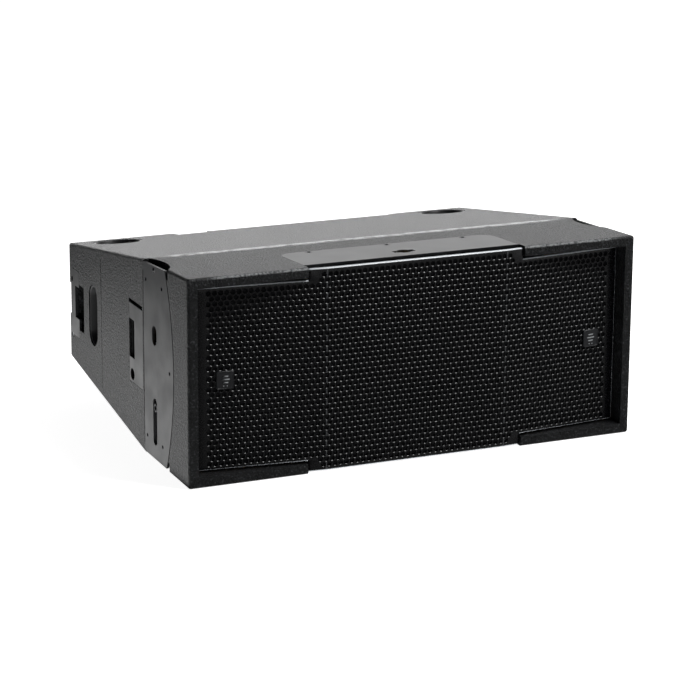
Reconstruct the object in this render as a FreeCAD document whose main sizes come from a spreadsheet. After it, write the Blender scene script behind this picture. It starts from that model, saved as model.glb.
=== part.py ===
import FreeCAD, Part
import math
import os
import Sketcher

# Line array speaker element: two 10-inch woofers and a central high-frequency
# waveguide in a wedge-shaped plywood cabinet with its own rigging.
# Frame: +X to the right for someone who looks at the grille, +Y backwards, +Z up;
# origin under the middle of the cabinet, at the height of the front bottom edge.

doc = FreeCAD.newDocument("line_array_speaker")
sheet = doc.addObject("Spreadsheet::Sheet", "Sheet")

DIMENSIONS = [
    # cabinet
    ("width", 714), ("depth", 540), ("height", 305), ("crease_run", 175), ("crease_drop", 7.5),
    ("rear_height", 182), ("rear_inset", 14.5), ("board", 15), ("edge_round", 4),
    ("rear_recess", 30), ("seam_y", 106.5), ("seam_gap", 1.2),
    ("cable_notch_left", -170), ("cable_notch_right", 224), ("cable_notch_depth", 17),
    ("cable_notch_taper", 26), ("cable_exit_width", 53),
    # grille and badges
    ("grille_notch", 172), ("grille_notch_depth", 20), ("grille_fold", 144), ("grille_end", 339),
    ("wing_setback", 20), ("sheet_gauge", 1.5), ("grille_lip", 3.5), ("foam_gauge", 7),
    ("badge_size", 26), ("badge_gauge", 2), ("badge_place", 295),
    # top plate
    ("plate_gauge", 3), ("top_plate_depth", 96), ("plate_corner", 22), ("key_radius", 11),
    ("key_length", 34), ("key_width", 12), ("key_setback", 51), ("socket_radius", 14.5),
    ("socket_drop", 8), ("socket_floor", 17.3), ("plate_screw_place", 125),
    ("plate_screw_inset", 7), ("plate_screw_radius", 6), ("crease_screw_inset", 9),
    ("crease_screw_radius", 4.5),
    # front rigging
    ("rig_gauge", 4), ("bow_radius", 364), ("bow_setback", 56), ("bow_gap", 1.2),
    ("channel_width", 15), ("link_place", -139), ("link_width", 40), ("link_gauge", 8),
    ("link_top", 178), ("link_foot", 12), ("pin_radius", 4.1), ("link_pin_height", 33.5),
    ("plate_pin_height", 290), ("knob_height", 86), ("knob_radius", 6.9), ("slot_half", 7.6),
    ("slot_low", 29.5), ("slot_high", 100), ("window_height", 193.5), ("window_long", 29),
    ("window_wide", 17.5), ("crescent_radius", 94), ("crescent_side", 432), ("crescent_y", -137.5),
    ("screw_radius", 5),
    # lock bolt, latch box and flap
    ("bolt_radius", 5), ("bolt_height", 122), ("bolt_travel", 12), ("link_travel", 48),
    ("latch_front", -93), ("latch_back", -29), ("latch_low", 100), ("latch_top", 225),
    ("latch_depth", 30), ("flap_top", 219), ("flap_gauge", 3), ("finger_low", 137),
    ("finger_high", 195), ("finger_deep", 24), ("hinge_radius", 1.25),
    # rear rigging
    ("rear_plate_front", 220), ("rear_plate_low", 101), ("rear_plate_high", 207.5),
    ("pocket_front", 195), ("pocket_low", 115), ("pocket_high", 187.5), ("step_low", 131.5),
    ("step_high", 182), ("pocket_depth", 30), ("rear_link_y", 255), ("rear_pivot_height", 100),
    ("rear_pin_height", 190), ("rear_link_width", 24), ("rear_link_side", 318),
    # handle, cups and feet
    ("handle_front", 126.5), ("handle_back", 168), ("handle_low", 108), ("handle_high", 203),
    ("handle_deep", 36), ("cup_place", 281), ("cup_y", 215), ("cup_radius", 38),
    ("foot_radius", 30), ("foot_proud", 8),
    # connector plate and the window behind it
    ("connector_half", 95), ("connector_low", 92), ("connector_high", 213),
    ("panel_window_half", 80), ("panel_window_low", 102), ("panel_window_high", 203),
    ("socket_place", 40),
    # drivers
    ("woofer_place", 193), ("woofer_radius", 129.5), ("baffle_setback", 45),
    ("baffle_inner", 63), ("cutout_radius", 118), ("magnet_radius", 66), ("cone_radius", 100),
    ("coil_radius", 32), ("mouth_half", 62), ("throat_half", 22), ("horn_depth", 92),
    ("driver_radius", 44), ("driver_depth", 54), ("driver_spread", 55),
]


class Measure:
    """A length that knows its value in mm and its formula in the spreadsheet."""

    def __init__(self, value, text):
        self.value = float(value)
        self.text = text

    def __add__(self, other):
        other = lift(other)
        return Measure(self.value + other.value, f"({self.text} + {other.text})")

    def __sub__(self, other):
        other = lift(other)
        return Measure(self.value - other.value, f"({self.text} - {other.text})")

    def __mul__(self, other):
        other = lift(other)
        return Measure(self.value * other.value, f"({self.text} * {other.text})")

    def __truediv__(self, other):
        other = lift(other)
        return Measure(self.value / other.value, f"({self.text} / {other.text})")

    def __radd__(self, other):
        return lift(other) + self

    def __rsub__(self, other):
        return lift(other) - self

    def __rmul__(self, other):
        return lift(other) * self

    def __neg__(self):
        return self * -1


def lift(value):
    return value if isinstance(value, Measure) else Measure(value, f"({value})")


for row, (alias, value) in enumerate(DIMENSIONS, start=1):
    sheet.set(f"A{row}", alias)
    sheet.set(f"B{row}", str(value))
    sheet.setAlias(f"B{row}", alias)
doc.recompute()


def dim(alias):
    return Measure(sheet.get(alias), f"Sheet.{alias}")


# ---------------------------------------------------------------- tools of the trade
NODES = {}


def bind(item, name, measure):
    measure = lift(measure)
    setattr(item, name, measure.value)
    item.setExpression(name, measure.text)


def place(item, at=(0, 0, 0), rotation=None):
    at = [lift(value) for value in at]
    base = FreeCAD.Vector(*[value.value for value in at])
    item.Placement = FreeCAD.Placement(base, rotation or FreeCAD.Rotation())
    for letter, value in zip("xyz", at):
        item.setExpression(f"Placement.Base.{letter}", value.text)


def move(item, placement):
    """Carry an item that is already in place to where it belongs on a slope or a driver."""
    where = placement.multiply(item.Placement)
    for letter in "xyz":
        item.setExpression(f"Placement.Base.{letter}", None)
    item.Placement = where
    return item


def about_x(y, z, slope):
    """The placement that tips the flat XY plane down to the rear, about a line along X."""
    angle = -math.degrees(math.atan(slope))
    return FreeCAD.Placement(FreeCAD.Vector(0, lift(y).value, lift(z).value),
                             FreeCAD.Rotation(FreeCAD.Vector(1, 0, 0), angle))


def node(name, item):
    """Register a finished sub-part under the name of its file."""
    item.Label = name
    NODES[name] = item
    return item


def block(low, high, name="Block"):
    item = doc.addObject("Part::Box", name)
    for side, start, stop in zip(("Length", "Width", "Height"), low, high):
        bind(item, side, lift(stop) - lift(start))
    place(item, low)
    return item


AXIS_TURN = {
    "X": FreeCAD.Rotation(FreeCAD.Vector(0, 1, 0), 90),
    "Y": FreeCAD.Rotation(FreeCAD.Vector(1, 0, 0), -90),
    "Z": FreeCAD.Rotation(),
}


def rod(radius, start, length, axis, name="Rod"):
    """A cylinder from start along +X, +Y or +Z."""
    item = doc.addObject("Part::Cylinder", name)
    bind(item, "Radius", radius)
    bind(item, "Height", length)
    place(item, start, AXIS_TURN[axis])
    return item


def origin_plane(body, role):
    return next(part for part in body.Origin.OriginFeatures if part.Role == role)


def sketch_outline(body, role, points):
    """A closed polygon on one of the body's own planes, each corner bound to the sheet."""
    sketch = body.newObject("Sketcher::SketchObject", "Sketch")
    sketch.AttachmentSupport = [(origin_plane(body, role), "")]
    sketch.MapMode = "FlatFace"
    points = [(lift(across), lift(up)) for across, up in points]
    corners = [FreeCAD.Vector(across.value, up.value, 0) for across, up in points]
    count = len(corners)
    for index in range(count):
        sketch.addGeometry(Part.LineSegment(corners[index], corners[(index + 1) % count]), False)
    for index in range(count):
        sketch.addConstraint(Sketcher.Constraint("Coincident", index, 2, (index + 1) % count, 1))
    for index, pair in enumerate(points):
        for kind, measure in zip(("DistanceX", "DistanceY"), pair):
            number = sketch.addConstraint(
                Sketcher.Constraint(kind, -1, 1, index, 1, measure.value))
            sketch.setExpression(f"Constraints[{number}]", measure.text)
    return sketch


def prism(plane, points, start, length, name="Prism"):
    """A padded outline: plane YZ pads along +X, XZ along +Y and XY along +Z, from start."""
    body = doc.addObject("PartDesign::Body", name)
    sketch = sketch_outline(body, plane + "_Plane", points)
    pad = body.newObject("PartDesign::Pad", "Pad")
    pad.Profile = sketch
    pad.Reversed = plane == "XZ"
    bind(pad, "Length", length)
    body.Tip = pad
    offset = {"YZ": (start, 0, 0), "XZ": (0, start, 0), "XY": (0, 0, start)}[plane]
    place(body, offset)
    return body


def turned(points, name="Turned"):
    """An outline of (radius, height) corners turned about the body's own Z axis."""
    body = doc.addObject("PartDesign::Body", name)
    sketch = sketch_outline(body, "XZ_Plane", points)
    turn = body.newObject("PartDesign::Revolution", "Revolution")
    turn.Profile = sketch
    turn.ReferenceAxis = (sketch, ["V_Axis"])
    turn.Angle = 360
    body.Tip = turn
    return body


def fuse(*items, name="Fuse"):
    item = doc.addObject("Part::MultiFuse", name)
    item.Shapes = list(items)
    item.Refine = True
    return item


def cut(base, *tools, name="Cut"):
    item = doc.addObject("Part::Cut", name)
    item.Base = base
    item.Tool = tools[0] if len(tools) == 1 else fuse(*tools)
    item.Refine = True
    return item


def common(first, second, name="Common"):
    item = doc.addObject("Part::Common", name)
    item.Base = first
    item.Tool = second
    item.Refine = True
    return item


def group(*items, name="Group"):
    """Separate solids that share one node, such as a set of screws."""
    item = doc.addObject("Part::Compound", name)
    item.Links = list(items)
    return item


def mirrored(source, name="Mirror"):
    item = doc.addObject("Part::Mirroring", name)
    item.Source = source
    item.Base = FreeCAD.Vector(0, 0, 0)
    item.Normal = FreeCAD.Vector(1, 0, 0)
    return item


def pair(name, item):
    """A left-hand sub-part and its mirror image on the right."""
    node("left_" + name, item)
    node("right_" + name, mirrored(item))
    return item


# ---------------------------------------------------------------- shared places
half_width = dim("width") / 2
front = -dim("depth") / 2
rear = dim("depth") / 2
crease = front + dim("crease_run")
board = dim("board")
height = dim("height")
rear_drop = (height - dim("rear_height")) / 2
middle = height / 2
rear_slope = (rear_drop - dim("crease_drop")) / (dim("depth") - dim("crease_run"))
front_slope = dim("crease_drop") / dim("crease_run")
far = 20


def sink(y):
    """How far the top has come down, and the bottom up, at a place y along the cabinet."""
    y = lift(y)
    if y.value <= crease.value:
        return front_slope * (y - front)
    return dim("crease_drop") + rear_slope * (y - crease)


def side_at(y):
    """Half the cabinet's width at a place y behind the crease."""
    return half_width - dim("rear_inset") * (lift(y) - crease) / (rear - crease)


# ---------------------------------------------------------------- cabinet
def profile(y_first, y_last, inset):
    """The wedge's side view between two places, drawn in by the board's thickness or less."""
    stops = [lift(y_first), crease, lift(y_last)]
    lower = [(stop, sink(stop) + inset) for stop in stops]
    upper = [(stop, height - sink(stop) - inset) for stop in reversed(stops)]
    return lower + upper


def plan(y_first, y_last, inset):
    """The cabinet seen from above: straight to the crease and then tapered."""
    right = [(half_width - inset, lift(y_first)), (half_width - inset, crease),
             (side_at(y_last) - inset, lift(y_last))]
    left = [(-across, y) for across, y in reversed(right)]
    return right + left


def rounded_envelope():
    side_view = prism("YZ", profile(front, rear, 0), -half_width - far, dim("width") + 2 * far)
    top_view = prism("XY", plan(front, rear, 0), -far, height + 2 * far)
    plain = common(side_view, top_view, "EnvelopePlain")
    doc.recompute()
    item = doc.addObject("Part::Fillet", "Envelope")
    item.Base = plain
    radius = sheet.get("edge_round")
    item.Edges = [(index, radius, radius) for index, edge in enumerate(plain.Shape.Edges, 1)
                  if not is_side_crease(edge)]
    return item


def is_side_crease(edge):
    """The upright edge on each side where the taper starts is almost flat and stays sharp."""
    ends = [vertex.Point for vertex in edge.Vertexes]
    upright = abs(ends[0].x - ends[1].x) < 0.1 and abs(ends[0].y - ends[1].y) < 0.1
    return upright and abs(ends[0].y - crease.value) < 0.1


envelope = rounded_envelope()
void_end = rear - dim("rear_recess") - board
hollow = common(
    prism("YZ", profile(front - far, rear + far, board), -half_width, dim("width")),
    prism("XY", plan(front - far, rear + far, board), 0, height), "Hollow")
shell = cut(envelope, hollow, name="Shell")


def slab(points, name):
    """The part of the cabinet's shell whose side view lies inside an outline."""
    return common(shell, prism("YZ", points, -half_width - far, dim("width") + 2 * far), name)


def top_slab(y_first, y_last, name):
    return slab([(y_first, height - sink(y_first) - board), (y_last, height - sink(y_last) - board),
                 (y_last, height + far), (y_first, height + far)], name)


def bottom_slab(y_first, y_last, name):
    return slab([(y_first, sink(y_first) + board), (y_last, sink(y_last) + board),
                 (y_last, lift(-far)), (y_first, lift(-far))], name)


def crescents():
    """The curved slots at both sides that let a link bar in or out."""
    left = rod(dim("crescent_radius"), (-dim("crescent_side"), dim("crescent_y"), -far),
               height + 2 * far, "Z")
    left = common(left, block((-dim("crescent_side"), front, -far),
                              (0, crease - 2, height + far)))
    return [left, mirrored(left)]


def obround(y_mid, z_mid, wide, long, x_start, x_length):
    """A slot with round ends, upright in the side view, right through along X."""
    reach = (long - wide) / 2
    low = rod(wide / 2, (x_start, y_mid, z_mid - reach), x_length, "X")
    high = rod(wide / 2, (x_start, y_mid, z_mid + reach), x_length, "X")
    web = block((x_start, y_mid - wide / 2, z_mid - reach),
                (lift(x_start) + x_length, y_mid + wide / 2, z_mid + reach))
    return fuse(low, high, web)


def on_front_top(item):
    """Tip an item that was drawn level with the front top edge onto the sloping top."""
    back = FreeCAD.Placement(FreeCAD.Vector(0, -front.value, -height.value), FreeCAD.Rotation())
    return move(item, about_x(front, height, front_slope.value).multiply(back))


plate_front = front + dim("grille_notch_depth")
plate_back = plate_front + dim("top_plate_depth")
plate_half = dim("grille_notch")


def top_plate_blank(gauge_low, play):
    """The plate's outline with round rear corners, from a depth below the top surface."""
    corner = dim("plate_corner")
    thick = lift(gauge_low)
    low = height - thick
    body = block((-plate_half - play, plate_front - play, low),
                 (plate_half + play, plate_back - corner, height))
    back = block((-plate_half + corner, plate_back - corner, low),
                 (plate_half - corner, plate_back + play, height))
    rounds = [rod(corner + play, (side, plate_back - corner, low), thick, "Z")
              for side in (corner - plate_half, plate_half - corner)]
    return fuse(body, back, *rounds)


def key_cutter(low, high, radius):
    """The bayonet key's shape: a round hole with a slot out to each side."""
    y_mid = front + dim("key_setback")
    centre = rod(radius, (0, y_mid, low), lift(high) - low, "Z")
    arms = block((-dim("key_length") / 2, y_mid - dim("key_width") / 2, low),
                 (dim("key_length") / 2, y_mid + dim("key_width") / 2, high))
    return fuse(centre, arms)


def top_front_panel():
    notch = block((-plate_half - 1, front - far, middle),
                  (plate_half + 1, plate_front, height + far))
    recess = on_front_top(top_plate_blank(dim("plate_gauge"), 0.4))
    hole = rod(dim("socket_radius") + 0.5, (0, front + dim("key_setback"), height - 2 * far),
               3 * far, "Z")
    socket_hole = on_front_top(hole)
    node("top_front_panel", cut(top_slab(front - far, crease, "TopFront"), notch, recess,
                                socket_hole, *crescents()))


def top_rear_panel():
    blank = top_slab(crease, rear + far, "TopRear")
    left, right = dim("cable_notch_left"), dim("cable_notch_right")
    y_notch = rear - dim("cable_notch_depth")
    cut_away = [(left, rear + far), (right, rear + far), (right, rear),
                (right - dim("cable_notch_taper"), y_notch), (left, y_notch)]
    openings = [prism("XY", cut_away, middle, height - middle),
                block((dim("cable_notch_left"), rear - dim("rear_recess"), middle),
                      (dim("cable_notch_left") + dim("cable_exit_width"), rear + far, height))]
    node("top_rear_panel", cut(blank, *openings, *cup_holes()))


def on_rear_top(item):
    """Bring an item drawn at the cup's place, with its top at z = 0, onto the rear top."""
    level = height - sink(dim("cup_y"))
    return move(item, about_x(dim("cup_y"), level, rear_slope.value))


def cup_holes():
    return [on_rear_top(rod(dim("cup_radius") + 0.3, (side, 0, -far), 2 * far, "Z"))
            for side in (-dim("cup_place"), dim("cup_place"))]


def bottom_panels():
    notch = block((-plate_half - 1, front - far, -far), (plate_half + 1, front + 12, middle))
    node("bottom_front_panel", cut(bottom_slab(front - far, crease, "BottomFront"), notch,
                                   *crescents()))
    arm_slots = [block((side - 9, rear - dim("rear_recess"), 0), (side + 9, rear + far, middle))
                 for side in (-dim("rear_link_side"), dim("rear_link_side"))]
    node("bottom_rear_panel", cut(bottom_slab(crease, rear + far, "BottomRear"), *arm_slots))


def wall_blank(y_first, y_last, name):
    """A stretch of the left side wall between the top and bottom boards."""
    region = [(y_first, sink(y_first) + board), (y_last, sink(y_last) + board),
              (y_last, height - sink(y_last) - board), (y_first, height - sink(y_first) - board)]
    inner = prism("YZ", region, -half_width - far, board + 2 * far)
    return common(shell, inner, name)


def bow(radius):
    """A drum across the cabinet whose front is the bow-shaped joint on each side."""
    return rod(radius, (-half_width - far, front + dim("bow_setback") + dim("bow_radius"), middle),
               2 * far + board, "X")


def cheek_panel():
    blank = wall_blank(front - far, crease - 2, "Cheek")
    pair("cheek_panel", cut(blank, bow(dim("bow_radius") + dim("bow_gap"))))


def side_panel():
    blank = wall_blank(crease, dim("seam_y") - dim("seam_gap"), "Side")
    latch_hole = block((-half_width - far, dim("latch_front"), dim("latch_low") - 0.6),
                       (-half_width + 2 * board, dim("latch_back"), dim("latch_top")))
    bolt_hole = block((-half_width + 3, crease - far, dim("bolt_height") - 7),
                      (-half_width + board + 2, dim("latch_front") + 1, dim("bolt_height") + 7))
    pair("side_panel", cut(blank, latch_hole, bolt_hole))


def pocket_cutter():
    return block((-half_width - far, dim("pocket_front"), dim("pocket_low")),
                 (-half_width + dim("latch_depth") + 10, rear - dim("rear_recess"),
                  dim("pocket_high")))


def handle_cutter(grow, x_start, x_length):
    y_mid = (dim("handle_front") + dim("handle_back")) / 2
    z_mid = (dim("handle_low") + dim("handle_high")) / 2
    return obround(y_mid, z_mid, dim("handle_back") - dim("handle_front") + 2 * grow,
                   dim("handle_high") - dim("handle_low") + 2 * grow, x_start, x_length)


def rear_side_panel():
    blank = wall_blank(dim("seam_y"), rear + far, "RearSide")
    plate_seat = block((-half_width - far, dim("rear_plate_front") - 0.4,
                        dim("rear_plate_low") - 0.4),
                       (3 - side_at(dim("rear_link_y")), rear + far,
                        dim("rear_plate_high") + 0.4))
    edge_notch = block((-half_width, rear - 9, dim("step_low")),
                       (-half_width + 3 * far, rear + far, dim("step_high")))
    holes = [rod(dim("pin_radius"), (-half_width, dim("rear_link_y"), level), 3 * far, "X")
             for level in (dim("rear_pin_height"), dim("rear_pivot_height"))]
    pair("rear_side_panel", cut(blank, plate_seat, edge_notch, pocket_cutter(),
                                handle_cutter(0.3, -half_width - far, 4 * far), *holes))


def rear_panel():
    y_low = void_end
    y_high = rear - dim("rear_recess")
    region = prism("YZ", [(y_low, sink(y_low) + board), (y_high, sink(y_high) + board),
                          (y_high, height - sink(y_high) - board),
                          (y_low, height - sink(y_low) - board)],
                   -half_width, dim("width"))
    blank = common(region, prism("XY", plan(front, rear, board), 0, height), "RearBoard")
    half = dim("panel_window_half")
    window = block((-half, y_low - far, dim("panel_window_low")),
                   (half, y_high + far, dim("panel_window_high")))
    corner = block((-half_width, y_low - far, dim("pocket_low") - 3),
                   (-half_width + 41, y_high + far, dim("pocket_high") + 3))
    node("rear_panel", cut(blank, window, corner, mirrored(corner)))


def inner_wall():
    x_outer = -half_width + dim("rig_gauge") + dim("channel_width")
    y_first = front + dim("bow_setback") - 20
    y_last = dim("latch_front") - 0.6
    region = [(y, sink(y) + board) for y in (y_first, crease, y_last)]
    region += [(y, height - sink(y) - board) for y in (y_last, crease, y_first)]
    pair("inner_wall", prism("YZ", region, x_outer, board))


top_front_panel()
top_rear_panel()
bottom_panels()
cheek_panel()
side_panel()
rear_side_panel()
rear_panel()
inner_wall()

# ---------------------------------------------------------------- grille, badges and top plate
wing_run = dim("grille_end") - dim("grille_fold")
wing_angle = math.degrees(math.atan(sheet.get("wing_setback") / wing_run.value))


def folded(y_face, thick):
    """The folded sheet seen from above: flat in the middle, its wings running back."""
    fold = dim("grille_fold")
    end = dim("grille_end")
    back = dim("wing_setback")
    face = [(-end, y_face + back), (-fold, y_face), (fold, y_face), (end, y_face + back)]
    return face + [(across, y + thick) for across, y in reversed(face)]


def grille():
    gauge = dim("sheet_gauge")
    face = front + 1
    low, high = lift(2.5), height - 2.5
    wing_low, wing_high = board + 1.5, height - board - 1.5
    blank = prism("XY", folded(face, dim("grille_lip")), low, high - low)
    corners = []
    for x_low, x_high in ((-half_width, -plate_half), (plate_half, half_width)):
        corners.append(block((x_low, front, wing_high), (x_high, 0, height)))
        corners.append(block((x_low, front, 0), (x_high, 0, wing_low)))
    inside = prism("XY", folded(face + gauge, far), low + gauge, high - low - 2 * gauge)
    centre_inside = common(inside, block((-plate_half, front, 0), (plate_half, 0, height)))
    wing_inside = common(inside, block((-half_width, front, wing_low + gauge),
                                       (half_width, 0, wing_high - gauge)))
    node("grille", cut(blank, *corners, centre_inside, wing_inside))


def grille_foam():
    face = front + 1 + dim("sheet_gauge") + 0.5
    low = board + 4
    node("grille_foam", prism("XY", folded(face, dim("foam_gauge")), low, height - 2 * low))


def badge():
    size = dim("badge_size")
    item = block((-size / 2, -dim("badge_gauge"), -size / 2), (size / 2, 0, size / 2))
    along = (dim("badge_place") - dim("grille_fold")) / wing_run
    spot = FreeCAD.Vector(-dim("badge_place").value,
                          (front + 1 + along * dim("wing_setback")).value, middle.value - 2)
    turn = FreeCAD.Rotation(FreeCAD.Vector(0, 0, 1), -wing_angle)
    pair("badge", move(item, FreeCAD.Placement(spot, turn)))


def plate_screw_places():
    return -dim("plate_screw_place"), 0, dim("plate_screw_place")


def top_plate():
    blank = top_plate_blank(dim("plate_gauge"), 0)
    key = key_cutter(height - far, height + far, dim("key_radius"))
    holes = [rod(2.6, (side, plate_back - dim("plate_screw_inset"), height - far), 2 * far, "Z")
             for side in plate_screw_places()]
    node("top_plate", on_front_top(cut(blank, key, *holes)))


def angle_sensor_socket():
    y_mid = front + dim("key_setback")
    low = height - dim("socket_floor")
    deep = dim("socket_floor") - dim("socket_drop")
    outer = rod(dim("socket_radius"), (0, y_mid, low), deep, "Z")
    inner = rod(dim("socket_radius") - 5, (0, y_mid, low + 2.3), deep, "Z")
    node("angle_sensor_socket", on_front_top(cut(outer, inner)))


def screw(x, y, top, length, radius):
    """A countersunk screw, its head level with top and its shank going down."""
    head = doc.addObject("Part::Cone", "ScrewHead")
    bind(head, "Radius1", lift(radius) / 2)
    bind(head, "Radius2", radius)
    bind(head, "Height", lift(radius) / 2)
    place(head, (x, y, lift(top) - lift(radius) / 2))
    shank = rod(lift(radius) / 2, (x, y, lift(top) - length), lift(length) - lift(radius) / 2, "Z")
    return fuse(head, shank)


grille()
grille_foam()
badge()
top_plate()
angle_sensor_socket()

# ---------------------------------------------------------------- front rigging
link_y = dim("link_place")
plate_inner = -half_width + dim("rig_gauge")
link_inner = plate_inner + 1 + dim("link_gauge")


RIG_SCREWS = [(-107, 270), (-170, 269), (-198, 152), (-107, 37), (-168, 35)]


def rigging_plate():
    y_first = front + dim("bow_setback")
    y_last = crease - 2
    outline = [(y_first, sink(y_first) + 3), (y_last, sink(y_last) + 3),
               (y_last, height - sink(y_last) - 3), (y_first, height - sink(y_first) - 3)]
    blank = common(prism("YZ", outline, -half_width, dim("rig_gauge")),
                   bow(dim("bow_radius") - dim("bow_gap")))
    start, length = -half_width - far, 2 * far
    slot_mid = (dim("slot_low") + dim("slot_high")) / 2
    cutters = [
        rod(dim("pin_radius"), (start, link_y, dim("plate_pin_height")), length, "X"),
        obround(link_y, dim("window_height"), dim("window_wide"), dim("window_long"),
                start, length),
        obround(link_y, slot_mid, 2 * dim("slot_half"), dim("slot_high") - dim("slot_low"),
                start, length)]
    for y, z in RIG_SCREWS:
        cutters.append(rod(3.1, (start, y, z), length, "X"))
    pair("rigging_plate", cut(blank, *cutters))


def link_guides():
    """Two upright rails in the channel that keep the link bar square; they take the screws."""
    x_low, x_high = plate_inner, plate_inner + dim("channel_width")
    half = dim("link_width") / 2
    low, high = board + 10, height - board - 10
    back = block((x_low, link_y + half + 0.6, low), (x_high, crease - 3, high))
    passage = block((x_low - 1, link_y, dim("bolt_height") - 7),
                    (link_inner + 1.5, crease, dim("bolt_height") + 7))
    front_rail = common(bow(dim("bow_radius") - dim("bow_gap") - 1),
                        block((x_low, front, low), (x_high, link_y - half - 0.6, high)))
    left = [cut(back, passage), front_rail]
    node("link_guides", group(*left, *[mirrored(item) for item in left]))


def front_link():
    """The flat bar that comes down out of the cabinet and is pinned in the next one."""
    x_low = plate_inner + 1
    bar = block((x_low, link_y - dim("link_width") / 2, dim("link_foot") + 12),
                (link_inner, link_y + dim("link_width") / 2, dim("link_top")))
    nose = common(
        rod(dim("link_width") / 2, (x_low, link_y, dim("link_foot") + dim("link_width") / 2),
            dim("link_gauge"), "X"),
        block((x_low, link_y - 30, 0), (link_inner, link_y + 30, dim("link_foot") + 20)))
    hole = rod(dim("pin_radius"), (x_low - 1, link_y, dim("link_pin_height")), far, "X")
    notches = [block((x_low - 1, link_y + dim("link_width") / 2 - 10, level - 6.5),
                     (link_inner + 1, link_y + dim("link_width") / 2 + 1, level + 6.5))
               for level in (dim("bolt_height"), dim("bolt_height") + dim("link_travel"))]
    pair("front_link", cut(fuse(bar, nose), hole, *notches))
    knob = rod(dim("knob_radius"), (-half_width + 0.6, link_y, dim("knob_height")),
               dim("rig_gauge") + 0.4, "X")
    pair("link_knob", knob)


def lock_bolt():
    """A plunger that locks the link, with a finger tab to draw it back."""
    x_mid = plate_inner + 1 + dim("link_gauge") / 2
    tip = link_y + dim("link_width") / 2 + 0.4
    tab_y = dim("latch_back") - 22
    shaft = rod(dim("bolt_radius"), (x_mid, tip, dim("bolt_height")), tab_y - tip, "Y")
    flats = block((x_mid - 3.6, tip - 1, dim("bolt_height") - 6),
                  (x_mid + 3.6, tab_y + 1, dim("bolt_height") + 6))
    tab = block((x_mid - 3.6, tab_y - 3, dim("bolt_height") - 5),
                (x_mid + 3.6, tab_y + 2, dim("finger_high") - 25))
    pair("lock_bolt", fuse(common(shaft, flats), tab))


def latch_box():
    """The steel tray behind the flap; its front wall guides the lock bolt."""
    x_rim = plate_inner + 3
    x_back = x_rim + dim("latch_depth")
    wall = dim("sheet_gauge")
    outer = block((x_rim, dim("latch_front"), dim("latch_low")),
                  (x_back, dim("latch_back"), dim("latch_top")))
    inner = block((x_rim - 1, dim("latch_front") + wall, dim("latch_low") + wall),
                  (x_back - wall, dim("latch_back") - wall, dim("latch_top") - wall))
    x_mid = plate_inner + 1 + dim("link_gauge") / 2
    guide = rod(dim("bolt_radius") + 0.3, (x_mid, dim("latch_front") - 1, dim("bolt_height")),
                wall + 2, "Y")
    left = cut(outer, inner, guide)
    node("latch_boxes", group(left, mirrored(left)))


hinge_x = 2 - half_width
hinge_y = dim("latch_front") + 3


def latch_flap():
    """The hinged cover over the latch, with a finger notch in its free edge."""
    blank = common(envelope, block((-half_width - far, dim("latch_front") + 1.2, dim("latch_low")),
                                   (plate_inner + 0.5, dim("latch_back") - 0.6, dim("flap_top"))))
    finger = block((-half_width - far, dim("latch_back") - dim("finger_deep"), dim("finger_low")),
                   (0, dim("latch_back") + far, dim("finger_high")))
    drop = rod(9, (-half_width - far, dim("latch_back") - 13, dim("latch_low") + 12), 3 * far, "X")
    bore = rod(dim("hinge_radius") + 0.05, (hinge_x, hinge_y, 0), height, "Z")
    pair("latch_flap", cut(blank, finger, drop, bore))
    pin = rod(dim("hinge_radius"), (hinge_x, hinge_y, dim("latch_low") - 8),
              dim("latch_top") - dim("latch_low") + 16, "Z")
    return pin


def side_screw(y, z):
    item = screw(0, 0, 0, 12, dim("screw_radius"))
    turn = FreeCAD.Rotation(FreeCAD.Vector(0, 1, 0), -90)
    return move(item, FreeCAD.Placement(FreeCAD.Vector(0.2 - half_width.value, y, z), turn))


rigging_plate()
link_guides()
front_link()
lock_bolt()
latch_box()
flap_pin = latch_flap()

# ---------------------------------------------------------------- rear rigging and handles
def rear_plate():
    outer = side_at(dim("rear_link_y"))
    blank = common(envelope, block((-half_width - far, dim("rear_plate_front"),
                                    dim("rear_plate_low")),
                                   (3 - outer - 0.2, rear + far, dim("rear_plate_high"))))
    step = block((-half_width, dim("rear_plate_front") - far, dim("step_low")),
                 (0, rear - dim("rear_recess"), dim("step_high")))
    edge_notch = block((-half_width, rear - 9, dim("step_low")), (0, rear + far, dim("step_high")))
    holes = [rod(dim("pin_radius"), (-half_width, dim("rear_link_y"), level), 3 * far, "X")
             for level in (dim("rear_pin_height"), dim("rear_pivot_height"))]
    pair("rear_plate", cut(blank, step, edge_notch, *holes))


def rear_link():
    """The arm that folds out of the recess at the back and down to the next cabinet."""
    side = -dim("rear_link_side")
    low, high = dim("rear_pivot_height"), dim("rear_pin_height")
    half = dim("rear_link_width") / 2
    bar = obround(dim("rear_link_y"), (low + high) / 2, 2 * half, high - low + 2 * half,
                  side - 4, 8)
    holes = [rod(dim("pin_radius"), (side - far, dim("rear_link_y"), level), 2 * far, "X")
             for level in (low, high)]
    pair("rear_link", cut(bar, *holes))
    pin = rod(dim("pin_radius") - 0.05, (-side_at(dim("rear_link_y")) + 1, dim("rear_link_y"), low),
              side_at(dim("rear_link_y")) - dim("rear_link_side") + 8, "X")
    collar = rod(dim("pin_radius") + 3, (side + 4.5, dim("rear_link_y"), low), 3, "X")
    return fuse(pin, collar)


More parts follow.
